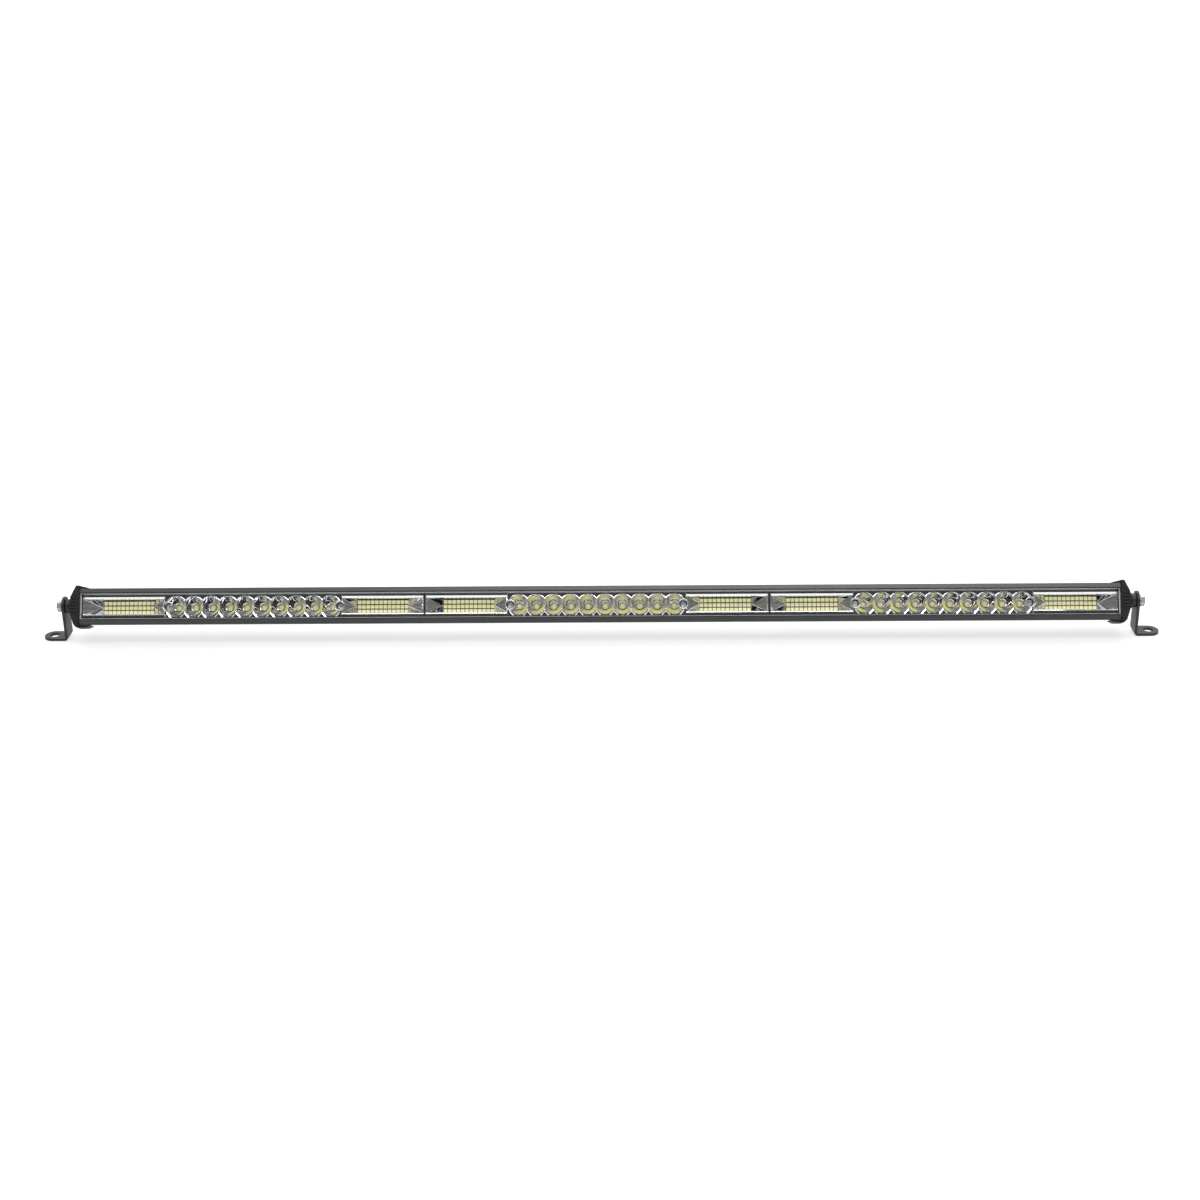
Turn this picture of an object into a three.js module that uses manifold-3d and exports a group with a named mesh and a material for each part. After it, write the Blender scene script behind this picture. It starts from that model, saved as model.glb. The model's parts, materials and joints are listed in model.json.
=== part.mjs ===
// LED light bar: an extruded lamp body between two L-shaped brackets, tilted back on its pivots.
// Millimetres, +Z up, X along the bar, the lamp faces -Y. The brackets stand on z = 0.

import * as THREE from "three";
import { mergeVertices } from "three/addons/utils/BufferGeometryUtils.js";
import { ConvexGeometry } from "three/addons/geometries/ConvexGeometry.js";
import Module from "manifold-3d";

const wasm = await Module();
wasm.setup();

// ---------- driving dimensions ----------

// stance
const PIVOT_HEIGHT = 32.4;
const REST_TILT = THREE.MathUtils.degToRad(30);
const PIVOT_Y = 0.64; // puts the middle of the whole box on y = 0

// The lamp's section is drawn as depth behind its front plane and height above its middle.
const FRONT_TO_PIVOT = 17.8;
const PIVOT_ABOVE_MIDDLE = 2.2;

// housing
const HOUSING_LENGTH = 972;
const HOUSING_HALF_HEIGHT = 17.2;
const HOUSING_DEPTH = 38;
const LIP_INNER = 12.4;
const LIP_FLAT = 13;
const LIP_CHAMFER_DEPTH = 3.2;
const LIP_THICKNESS = 1.8;
const GROOVE_REACH = 14.1;
const LEDGE_DEPTH = 4.9;
const CHANNEL_HALF = 12.6;
const DECK_FRONT = 21.2;
const DECK_REAR = 25;
const TAPER_START = 8;
const OUTER_WALL_DEPTH = 35;
const OUTER_WALL_HALF = 13.6;
const OUTER_WALL_THICKNESS = 1.6;
const FIN_HALF = 0.7;
const FIN_SPACING = 3.9;
const PORT_RADIUS = 1.3;
const FRONT_PORT = { depth: 9, height: 14.9 };
const REAR_PORT = { depth: 27.7, height: 8.4 };
const PORT_BLOCK_HALF = 1.9;
const PORT_BLOCK_DEPTH = 30.2;
const PORT_FIN_DEPTH = 37;

// optics
const LENS_LENGTH = 971.2;
const LENS_FRONT = 0.8;
const LENS_FLANGE_FRONT = 2.1;
const LENS_REAR = 4.3;
const LENS_FLANGE_HALF = 13.8;
const LENS_WINDOW_HALF = 12.1;
const MODULE_PITCH = 322.8;
const MODULE_LENGTH = 322.4;
const MODULE_END_EXTENSION = 1.6;
const REFLECTOR_FRONT = 5.2;
const REFLECTOR_REAR = 19;
const REFLECTOR_FLANGE = 1.2;
const REFLECTOR_FLANGE_HALF = 12.3;
const REFLECTOR_BODY_HALF = 10.2;
const CUP_COUNT = 10;
const CUP_PITCH = 16.2;
const CUP_RIM_RADIUS = 9.2;
const CUP_FOOT = { radius: 4.1, depth: 17.4 };
const CUP_LED_RADIUS = 3.4;
const FLOOD_CENTRE = 120.7;
const FLOOD_SLOT_HALF = { length: 24.4, height: 7 };
const FLOOD_RIM = { top: 8.9, bottom: 7.7 };
const FLOOD_FLARE_DEPTH = 1.2;
const FLOOD_OUTER_SLOPE = 15.1;
const FLOOD_INNER_SLOPE = 12.9;
const BOSS_OFFSET = 81.2;
const BOSS_RADIUS = 5.05;
const BOSS_TOP = 5.6;
const BOSS_BORE = 3.9;
const SCREW_HOLE = 1.7;
const BOSS_SEAT = 13.2;

// boards
const BOARD_LENGTH = 312;
const BOARD_HALF_HEIGHT = 12;
const BOARD_FRONT = 19.3;
const BOARD_THICKNESS = 1.6;
const CHIP_HEIGHT = 0.7;
const FLOOD_CHIPS_HALF = { length: 24.1, height: 6.2 };
const DOME_RADIUS = 2.5;
const DOME_HEIGHT = 2.3;
const WIRE_RADIUS = 0.8;

// end caps
const CAP_INNER = 487;
const CAP_TONGUE_END = 485.9;
const CAP_SHOULDER = 494.8;
const CAP_HALF_HEIGHT = 19.9;
const CAP_DEPTH = 38.8;
const CAP_BOSS_END = 499.5;
const CAP_BOSS_RADIUS = 7.5;
const CAP_SCREW_SEAT = 489.6;
const COLLAR_CLEARANCE = 0.3;
const GASKET_THICKNESS = 0.8;

// brackets and pivots
const BRACKET_OUTER = 506;
const PLATE = 2.5;
const BRACKET_WIDTH = 18.4;
const FOOT_REACH = 22;
const FOOT_HOLE_OFFSET = 12.2;
const FOOT_HOLE_RADIUS = 4.5;
const BEND_INNER_RADIUS = 1;
const BOLT_RADIUS = 2.9;
const PIVOT_BORE = 3.2;
const HEX_ACROSS_FLATS = 10;
const BOLT_HEAD_HEIGHT = 4;

// rear fittings, in line with the seams between the modules
const GLAND_X = -MODULE_PITCH / 2;
const VENT_X = MODULE_PITCH / 2;
const FITTING_POCKET = { half: 13, height: 11 };

const GAP = 0.3;
const SIDES = { left: -1, right: 1 };
const MODULES = { left: -MODULE_PITCH, centre: 0, right: MODULE_PITCH };

// ---------- materials ----------

const powderCoat = { color: 0x202124, roughness: 0.5, metalness: 0.2 };
const looks = {
  housing: powderCoat,
  cap: { color: 0x1c1d1f, roughness: 0.6, metalness: 0.2 },
  bracket: { color: 0x232426, roughness: 0.55, metalness: 0.3 },
  lens: { color: 0xdfe6ea, roughness: 0.08, metalness: 0 },
  reflector: { color: 0xe4e4e6, roughness: 0.08, metalness: 1 },
  board: { color: 0xe9e9e4, roughness: 0.5, metalness: 0 },
  zinc: { color: 0xc9ccd0, roughness: 0.3, metalness: 1 },
  blackScrew: { color: 0x2a2a2c, roughness: 0.4, metalness: 0.9 },
  rubber: { color: 0x121212, roughness: 0.85, metalness: 0 },
  nylon: { color: 0x19191a, roughness: 0.6, metalness: 0 },
  wireRed: { color: 0xa01818, roughness: 0.5, metalness: 0 },
  wireBlack: { color: 0x161616, roughness: 0.5, metalness: 0 },
};

// ---------- geometry helpers ----------

function solidFrom(geometry) {
  const bare = geometry.clone();
  for (const name of Object.keys(bare.attributes)) {
    if (name !== "position") bare.deleteAttribute(name);
  }
  const merged = mergeVertices(bare, 1e-4);
  const mesh = new wasm.Mesh({
    numProp: 3,
    vertProperties: new Float32Array(merged.attributes.position.array),
    triVerts: new Uint32Array(merged.index.array),
  });
  return new wasm.Manifold(mesh);
}

function geometryFrom(solid) {
  const mesh = solid.getMesh();
  const geometry = new THREE.BufferGeometry();
  geometry.setAttribute("position", new THREE.BufferAttribute(mesh.vertProperties, 3));
  geometry.setIndex(new THREE.BufferAttribute(mesh.triVerts, 1));
  geometry.computeVertexNormals();
  return geometry;
}

const union = (solids) => solids.reduce((sum, solid) => sum.add(solid));
const cut = (solid, tools) => tools.reduce((rest, tool) => rest.subtract(tool), solid);

// section points (depth, height) to the lamp frame, whose origin is on the pivot axis
const yOf = (depth) => depth - FRONT_TO_PIVOT;
const zOf = (height) => height - PIVOT_ABOVE_MIDDLE;

const sectionShape = (points) =>
  new THREE.Shape(points.map(([depth, height]) => new THREE.Vector2(yOf(depth), zOf(height))));

const plainShape = (points) => new THREE.Shape(points.map(([a, b]) => new THREE.Vector2(a, b)));

function circlePath(y, z, radius) {
  const path = new THREE.Path();
  path.absarc(y, z, radius, 0, Math.PI * 2);
  return path;
}

function extruded(shape, length, curveSegments = 6) {
  return new THREE.ExtrudeGeometry(shape, { depth: length, bevelEnabled: false, curveSegments });
}

// a (y, z) shape along X
function alongX(shape, xa, xb, curveSegments) {
  const geometry = extruded(shape, Math.abs(xb - xa), curveSegments);
  const turn = new THREE.Matrix4().makeBasis(
    new THREE.Vector3(0, 1, 0), new THREE.Vector3(0, 0, 1), new THREE.Vector3(1, 0, 0));
  geometry.applyMatrix4(turn);
  geometry.translate(Math.min(xa, xb), 0, 0);
  return solidFrom(geometry);
}

// an (x, z) shape along Y
function alongY(shape, ya, yb, curveSegments) {
  const geometry = extruded(shape, Math.abs(yb - ya), curveSegments);
  const turn = new THREE.Matrix4().makeBasis(
    new THREE.Vector3(1, 0, 0), new THREE.Vector3(0, 0, 1), new THREE.Vector3(0, -1, 0));
  geometry.applyMatrix4(turn);
  geometry.translate(0, Math.max(ya, yb), 0);
  return solidFrom(geometry);
}

// an (x, y) shape along Z
function alongZ(shape, za, zb, curveSegments) {
  const geometry = extruded(shape, Math.abs(zb - za), curveSegments);
  geometry.translate(0, 0, Math.min(za, zb));
  return solidFrom(geometry);
}

function box(xa, xb, ya, yb, za, zb) {
  const geometry = new THREE.BoxGeometry(Math.abs(xb - xa), Math.abs(yb - ya), Math.abs(zb - za));
  geometry.translate((xa + xb) / 2, (ya + yb) / 2, (za + zb) / 2);
  return solidFrom(geometry);
}

// a box given by its section: depth and height ranges of the lamp
const sectionBox = (xa, xb, depthA, depthB, heightA, heightB) =>
  box(xa, xb, yOf(depthA), yOf(depthB), zOf(heightA), zOf(heightB));

function rodX(radius, xa, xb, y = 0, z = 0, sides = 24) {
  const geometry = new THREE.CylinderGeometry(radius, radius, Math.abs(xb - xa), sides);
  geometry.rotateZ(Math.PI / 2);
  geometry.translate((xa + xb) / 2, y, z);
  return solidFrom(geometry);
}

function rodY(radius, ya, yb, x, z, sides = 24) {
  const geometry = new THREE.CylinderGeometry(radius, radius, Math.abs(yb - ya), sides);
  geometry.translate(x, (ya + yb) / 2, z);
  return solidFrom(geometry);
}

// hexagon across flats, axis along X or Y
const hexRadius = (flats) => flats / Math.sqrt(3);
const hexX = (flats, xa, xb) => rodX(hexRadius(flats), xa, xb, 0, 0, 6);
const hexY = (flats, ya, yb, x, z) => rodY(hexRadius(flats), ya, yb, x, z, 6);

const screwPorts = [
  [FRONT_PORT.depth, FRONT_PORT.height],
  [FRONT_PORT.depth, -FRONT_PORT.height],
  [REAR_PORT.depth, REAR_PORT.height],
  [REAR_PORT.depth, -REAR_PORT.height],
];

// ---------- housing ----------

// height of the housing's outer face behind the start of its taper
function taperHeight(depth) {
  const run = (depth - TAPER_START) / (OUTER_WALL_DEPTH - TAPER_START);
  return HOUSING_HALF_HEIGHT + run * (OUTER_WALL_HALF - HOUSING_HALF_HEIGHT);
}

function housingSection() {
  const portFinHalf = FIN_HALF + 0.05;
  const upper = [
    [DECK_FRONT, CHANNEL_HALF],
    [LEDGE_DEPTH, CHANNEL_HALF],
    [LEDGE_DEPTH, GROOVE_REACH],
    [LIP_THICKNESS, GROOVE_REACH],
    [LIP_THICKNESS, LIP_INNER],
    [0, LIP_INNER],
    [0, LIP_FLAT],
    [LIP_CHAMFER_DEPTH, HOUSING_HALF_HEIGHT],
    [TAPER_START, HOUSING_HALF_HEIGHT],
    [OUTER_WALL_DEPTH, OUTER_WALL_HALF],
    [OUTER_WALL_DEPTH, OUTER_WALL_HALF - OUTER_WALL_THICKNESS],
    [DECK_REAR, taperHeight(DECK_REAR) - OUTER_WALL_THICKNESS],
    [DECK_REAR, REAR_PORT.height + PORT_BLOCK_HALF],
    [PORT_BLOCK_DEPTH, REAR_PORT.height + PORT_BLOCK_HALF],
    [PORT_BLOCK_DEPTH, REAR_PORT.height + portFinHalf],
    [PORT_FIN_DEPTH, REAR_PORT.height + portFinHalf],
    [PORT_FIN_DEPTH, REAR_PORT.height - portFinHalf],
    [PORT_BLOCK_DEPTH, REAR_PORT.height - portFinHalf],
    [PORT_BLOCK_DEPTH, REAR_PORT.height - PORT_BLOCK_HALF],
    [DECK_REAR, REAR_PORT.height - PORT_BLOCK_HALF],
    [DECK_REAR, FIN_SPACING + FIN_HALF],
    [HOUSING_DEPTH, FIN_SPACING + FIN_HALF],
    [HOUSING_DEPTH, FIN_SPACING - FIN_HALF],
    [DECK_REAR, FIN_SPACING - FIN_HALF],
    [DECK_REAR, FIN_HALF],
    [HOUSING_DEPTH, FIN_HALF],
  ];
  const lower = upper.map(([depth, height]) => [depth, -height]).reverse();
  return [...upper, ...lower];
}

function makeHousing() {
  const shape = sectionShape(housingSection());
  for (const [depth, height] of screwPorts) {
    shape.holes.push(circlePath(yOf(depth), zOf(height), PORT_RADIUS));
  }
  const bar = alongX(shape, -HOUSING_LENGTH / 2, HOUSING_LENGTH / 2);
  const tools = [];
  for (const [x, radius] of [[GLAND_X, 5.2], [VENT_X, 3.9]]) {
    const { half, height } = FITTING_POCKET;
    tools.push(sectionBox(x - half, x + half, DECK_REAR, HOUSING_DEPTH + 1, -height, height));
    tools.push(rodY(radius, yOf(DECK_FRONT - 1), yOf(DECK_REAR + 1), x, zOf(0), 20));
  }
  for (const centre of Object.values(MODULES)) {
    for (const side of [-1, 1]) {
      const x = centre + side * BOSS_OFFSET;
      tools.push(rodY(1.7, yOf(DECK_FRONT - 1), yOf(DECK_FRONT + 3.1), x, zOf(0), 12));
    }
  }
  return cut(bar, tools);
}

// ---------- end caps, gaskets and their screws ----------

function capOutline(side) {
  return plainShape([
    [CAP_INNER, CAP_HALF_HEIGHT],
    [489.8, CAP_HALF_HEIGHT],
    [CAP_SHOULDER, 9.7],
    [CAP_SHOULDER, -7.6],
    [491.6, -17],
    [488.8, -CAP_HALF_HEIGHT],
    [CAP_INNER, -CAP_HALF_HEIGHT],
  ].map(([x, height]) => [side * x, zOf(height)]));
}

const capSection = () => sectionShape([
  [0, 17.6], [1.6, CAP_HALF_HEIGHT], [17, CAP_HALF_HEIGHT], [37.6, 15.2], [CAP_DEPTH, 13.9],
  [CAP_DEPTH, -13.9], [37.6, -15.2], [17, -CAP_HALF_HEIGHT], [1.6, -CAP_HALF_HEIGHT], [0, -17.6],
]);

function capCollars(side) {
  const under = HOUSING_HALF_HEIGHT + COLLAR_CLEARANCE;
  const root = CAP_INNER + 0.5;
  const upper = [[root, CAP_HALF_HEIGHT], [479, under + 0.4], [479, under], [root, under]];
  const lower = [[root, -CAP_HALF_HEIGHT], [480.5, -CAP_HALF_HEIGHT], [476, -under - 0.4],
    [476, -under], [root, -under]];
  return [upper, lower].map((points) =>
    alongY(plainShape(points.map(([x, height]) => [side * x, zOf(height)])), yOf(4), yOf(16)));
}

function makeEndCap(side) {
  const at = (x) => side * x;
  const block = alongY(capOutline(side), yOf(0), yOf(CAP_DEPTH))
    .intersect(alongX(capSection(), at(CAP_INNER), at(CAP_BOSS_END)));
  const boss = rodX(CAP_BOSS_RADIUS, at(CAP_INNER + 3), at(CAP_BOSS_END), 0, 0, 36);
  const tongue = sectionBox(at(CAP_TONGUE_END), at(CAP_INNER + 0.5), 0.3, LENS_REAR + 0.4, -11.9, 11.9);
  const tools = [
    rodX(PIVOT_BORE, at(CAP_INNER - 1), at(CAP_BOSS_END + 1)),
    hexX(HEX_ACROSS_FLATS + 2 * GAP, at(CAP_INNER - 1), at(492.4)),
  ];
  // the middle of the front stands 0.8 proud of the fields above and below it
  const middleTop = PIVOT_ABOVE_MIDDLE + CAP_BOSS_RADIUS;
  const middleBottom = PIVOT_ABOVE_MIDDLE - CAP_BOSS_RADIUS;
  tools.push(sectionBox(at(CAP_INNER + 1), at(500), -1, 0.8, middleTop, 21));
  tools.push(sectionBox(at(CAP_INNER + 1), at(500), -1, 0.8, -21, middleBottom));
  // grip grooves across the front and along the round boss
  for (const height of [-4.8, -1.6, 1.6, 4.8]) {
    const middle = PIVOT_ABOVE_MIDDLE + height;
    tools.push(sectionBox(at(CAP_INNER + 0.6), at(500), -1, 0.9, middle - 0.5, middle + 0.5));
  }
  const grooveCount = 14;
  for (let i = 0; i < grooveCount; i += 1) {
    const angle = (i / grooveCount) * Math.PI * 2;
    const radius = CAP_BOSS_RADIUS + 0.1;
    tools.push(rodX(0.7, at(CAP_SHOULDER + 0.2), at(CAP_BOSS_END + 1),
      radius * Math.cos(angle), radius * Math.sin(angle), 6));
  }
  for (const [depth, height] of screwPorts) {
    tools.push(rodX(3.1, at(CAP_SCREW_SEAT), at(500), yOf(depth), zOf(height), 16));
    tools.push(rodX(1.7, at(CAP_INNER - 1), at(CAP_SCREW_SEAT + 1), yOf(depth), zOf(height), 12));
  }
  return cut(union([block, boss, tongue, ...capCollars(side)]), tools);
}

function makeEndGasket(side) {
  const xa = side * (HOUSING_LENGTH / 2 + 0.1);
  const xb = xa + side * GASKET_THICKNESS;
  const half = HOUSING_HALF_HEIGHT - 0.2;
  const outline = sectionShape([
    [0.2, LIP_FLAT - 0.1], [LIP_CHAMFER_DEPTH, half], [TAPER_START, half], [34.8, 13.3],
    [HOUSING_DEPTH - 0.2, 8], [HOUSING_DEPTH - 0.2, -8], [34.8, -13.3], [TAPER_START, -half],
    [LIP_CHAMFER_DEPTH, -half], [0.2, -LIP_FLAT + 0.1], [0.2, -12.2], [LENS_REAR + 0.7, -12.2],
    [LENS_REAR + 0.7, 12.2], [0.2, 12.2],
  ]);
  for (const [depth, height] of screwPorts) {
    outline.holes.push(circlePath(yOf(depth), zOf(height), 1.6));
  }
  outline.holes.push(circlePath(0, 0, PIVOT_BORE));
  return alongX(outline, xa, xb);
}

function makeCapScrew(side, depth, height) {
  const y = yOf(depth);
  const z = zOf(height);
  const seat = CAP_SCREW_SEAT + 0.1;
  const head = rodX(2.7, side * seat, side * (seat + 2), y, z, 16);
  const shank = rodX(1.1, side * 477, side * (seat + 0.5), y, z, 8);
  const socket = rodX(1.2, side * (seat + 0.9), side * (seat + 3), y, z, 6);
  return head.add(shank).subtract(socket);
}

// ---------- lens and seal ----------

function makeLens() {
  const half = LENS_LENGTH / 2;
  return union([
    sectionBox(-half, half, LENS_FLANGE_FRONT, LENS_REAR, -LENS_FLANGE_HALF, LENS_FLANGE_HALF),
    sectionBox(-half, half, LENS_FRONT, LENS_REAR, -LENS_WINDOW_HALF, LENS_WINDOW_HALF),
  ]);
}

function makeLensSeal() {
  const half = LENS_LENGTH / 2 - 0.2;
  const outer = LENS_FLANGE_HALF;
  const inner = CHANNEL_HALF + 0.1;
  const [front, rear] = [LENS_REAR + 0.15, LEDGE_DEPTH - 0.1];
  const ring = sectionBox(-half, half, front, rear, -outer, outer);
  return ring.subtract(sectionBox(1.5 - half, half - 1.5, front - 1, rear + 1, -inner, inner));
}

// ---------- reflectors ----------

// the cup is a paraboloid from its rim to a narrow floor round the LED hole
function cupRadius(depth) {
  const opening = (CUP_RIM_RADIUS ** 2 - CUP_FOOT.radius ** 2) / (CUP_FOOT.depth - REFLECTOR_FRONT);
  return Math.sqrt(CUP_FOOT.radius ** 2 + opening * (CUP_FOOT.depth - depth));
}

function cupTool(x) {
  const front = REFLECTOR_FRONT - 0.4;
  const steps = 3;
  const profile = [
    new THREE.Vector2(0, REFLECTOR_REAR + 0.4),
    new THREE.Vector2(CUP_LED_RADIUS, REFLECTOR_REAR + 0.4),
    new THREE.Vector2(CUP_LED_RADIUS, CUP_FOOT.depth + 0.3),
  ];
  for (let i = 0; i <= steps; i += 1) {
    const depth = CUP_FOOT.depth + (front - CUP_FOOT.depth) * (i / steps);
    profile.push(new THREE.Vector2(cupRadius(depth), depth));
  }
  profile.push(new THREE.Vector2(0, front));
  const geometry = new THREE.LatheGeometry(profile.reverse(), 14);
  geometry.translate(x, yOf(0), zOf(0));
  return solidFrom(geometry);
}

// a trough is a steep-sided slot with sloped ends, and a flare along its rim
function floodTools(x, outward, extension) {
  const { length, height } = FLOOD_SLOT_HALF;
  const front = REFLECTOR_FRONT - 0.3;
  const rear = REFLECTOR_REAR + 0.3;
  const throat = REFLECTOR_FRONT + FLOOD_FLARE_DEPTH;
  const slope = { [outward]: FLOOD_OUTER_SLOPE + extension, [-outward]: FLOOD_INNER_SLOPE };
  const endAt = (end, depth) => x + end * (length + (slope[end] * (rear - depth)) / (rear - front));
  const hull = (sections, inset) => {
    const points = [];
    for (const [depth, ...levels] of sections) {
      for (const end of [-1, 1]) {
        for (const level of levels) {
          points.push(new THREE.Vector3(endAt(end, depth) - end * inset, yOf(depth), zOf(level)));
        }
      }
    }
    return solidFrom(new ConvexGeometry(points));
  };
  const flare = (rim) => rim + ((rim - height) * (REFLECTOR_FRONT - front)) / FLOOD_FLARE_DEPTH;
  return [
    hull([[front, -height, height], [rear, -height, height]], 0),
    hull([[front, -flare(FLOOD_RIM.bottom), flare(FLOOD_RIM.top)], [throat, -height, height]], 0.2),
  ];
}

const cupOffsets = Array.from({ length: CUP_COUNT }, (_, i) => (i - (CUP_COUNT - 1) / 2) * CUP_PITCH);

function makeReflector(centre) {
  const extension = (side) => (Math.sign(centre) === side ? MODULE_END_EXTENSION : 0);
  const left = centre - MODULE_LENGTH / 2 - extension(-1);
  const right = centre + MODULE_LENGTH / 2 + extension(1);
  const flangeRear = REFLECTOR_FRONT + REFLECTOR_FLANGE;
  const flange = sectionBox(left, right, REFLECTOR_FRONT, flangeRear,
    -REFLECTOR_FLANGE_HALF, REFLECTOR_FLANGE_HALF);
  const body = sectionBox(left + 1, right - 1, REFLECTOR_FRONT, REFLECTOR_REAR,
    -REFLECTOR_BODY_HALF, REFLECTOR_BODY_HALF);
  const hollows = cupOffsets.map((offset) => cupTool(centre + offset));
  for (const side of [-1, 1]) {
    hollows.push(...floodTools(centre + side * FLOOD_CENTRE, side, extension(side)));
  }
  let solid = cut(flange.add(body), hollows);
  for (const side of [-1, 1]) {
    const x = centre + side * BOSS_OFFSET;
    solid = solid.add(rodY(BOSS_RADIUS, yOf(BOSS_TOP), yOf(REFLECTOR_REAR), x, zOf(0), 16));
    solid = cut(solid, [
      rodY(BOSS_BORE, yOf(0), yOf(BOSS_SEAT), x, zOf(0), 16),
      rodY(SCREW_HOLE, yOf(0), yOf(REFLECTOR_REAR + 1), x, zOf(0), 12),
    ]);
  }
  return solid;
}

function makeReflectorScrew(x) {
  const head = rodY(2.6, yOf(BOSS_SEAT - 2), yOf(BOSS_SEAT - GAP), x, zOf(0), 20);
  const shank = rodY(1.4, yOf(BOSS_SEAT - 1), yOf(DECK_FRONT + 2.6), x, zOf(0), 12);
  return head.add(shank);
}

// ---------- boards and wires ----------

function makeBoard(centre) {
  const half = BOARD_LENGTH / 2;
  const rear = BOARD_FRONT + BOARD_THICKNESS;
  const pieces = [sectionBox(centre - half, centre + half, BOARD_FRONT, rear,
    -BOARD_HALF_HEIGHT, BOARD_HALF_HEIGHT)];
  const { length, height } = FLOOD_CHIPS_HALF;
  for (const side of [-1, 1]) {
    const x = centre + side * FLOOD_CENTRE;
    pieces.push(sectionBox(x - length, x + length, BOARD_FRONT - CHIP_HEIGHT, BOARD_FRONT + 0.2,
      -height, height));
  }
  for (const offset of cupOffsets) {
    const dome = [yOf(BOARD_FRONT - DOME_HEIGHT), yOf(BOARD_FRONT + 0.2)];
    pieces.push(rodY(DOME_RADIUS, ...dome, centre + offset, zOf(0), 12));
  }
  const holes = [-1, 1].map((side) =>
    rodY(1.8, yOf(0), yOf(DECK_FRONT), centre + side * BOSS_OFFSET, zOf(0), 12));
  return cut(union(pieces), holes);
}

function makeLinkWire(x, height) {
  const reach = 9.5;
  const depth = BOARD_FRONT - GAP - WIRE_RADIUS;
  const path = new THREE.CatmullRomCurve3([
    new THREE.Vector3(x - reach, yOf(depth), zOf(height)),
    new THREE.Vector3(x - reach / 2, yOf(depth - 0.6), zOf(height)),
    new THREE.Vector3(x, yOf(depth - 1.4), zOf(height)),
    new THREE.Vector3(x + reach / 2, yOf(depth - 0.6), zOf(height)),
    new THREE.Vector3(x + reach, yOf(depth), zOf(height)),
  ]);
  const section = new THREE.Shape();
  section.absarc(0, 0, WIRE_RADIUS, 0, Math.PI * 2);
  return solidFrom(new THREE.ExtrudeGeometry(section, {
    extrudePath: path, steps: 8, curveSegments: 4,
  }));
}

// ---------- rear fittings ----------

function makeGlandBody() {
  const seat = DECK_REAR + 0.3;
  const y = (depth) => yOf(depth);
  const body = union([
    hexY(16, y(seat), y(seat + 4), GLAND_X, zOf(0)),
    rodY(4.9, y(DECK_FRONT + 0.6), y(seat + 0.5), GLAND_X, zOf(0)),
    rodY(6.2, y(seat + 3.5), y(33), GLAND_X, zOf(0)),
  ]);
  return body.subtract(rodY(4.2, y(DECK_FRONT), y(34), GLAND_X, zOf(0)));
}

function makeGlandNut() {
  const shell = union([
    rodY(7.6, yOf(29.7), yOf(34.2), GLAND_X, zOf(0), 12),
    rodY(6.6, yOf(34), yOf(36.2), GLAND_X, zOf(0)),
    rodY(5.6, yOf(36), yOf(37.2), GLAND_X, zOf(0)),
  ]);
  return cut(shell, [
    rodY(6.5, yOf(29), yOf(33.3), GLAND_X, zOf(0)),
    rodY(4.2, yOf(33), yOf(38), GLAND_X, zOf(0)),
  ]);
}

function makeGlandInsert() {
  const insert = rodY(3.9, yOf(24), yOf(37.6), GLAND_X, zOf(0), 20);
  const bores = [-1.9, 1.9].map((height) => rodY(1.5, yOf(23), yOf(39), GLAND_X, zOf(height), 12));
  return cut(insert, bores);
}

function makeVentPlug() {
  const seat = DECK_REAR + 0.3;
  const plug = union([
    hexY(11, yOf(seat), yOf(seat + 2.6), VENT_X, zOf(0)),
    rodY(4.6, yOf(seat + 2.4), yOf(seat + 5.4), VENT_X, zOf(0)),
    rodY(3.6, yOf(DECK_FRONT + 0.6), yOf(seat + 0.5), VENT_X, zOf(0)),
  ]);
  const slots = [0, 1, 2].map((i) => {
    const slot = new THREE.BoxGeometry(12, 1, 1);
    slot.rotateY((i * Math.PI) / 3);
    slot.translate(VENT_X, yOf(seat + 4.2), zOf(0));
    return solidFrom(slot);
  });
  return cut(plug, slots);
}

// ---------- brackets and pivot hardware, in the standing frame with the pivot on y = 0 ----------

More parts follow.
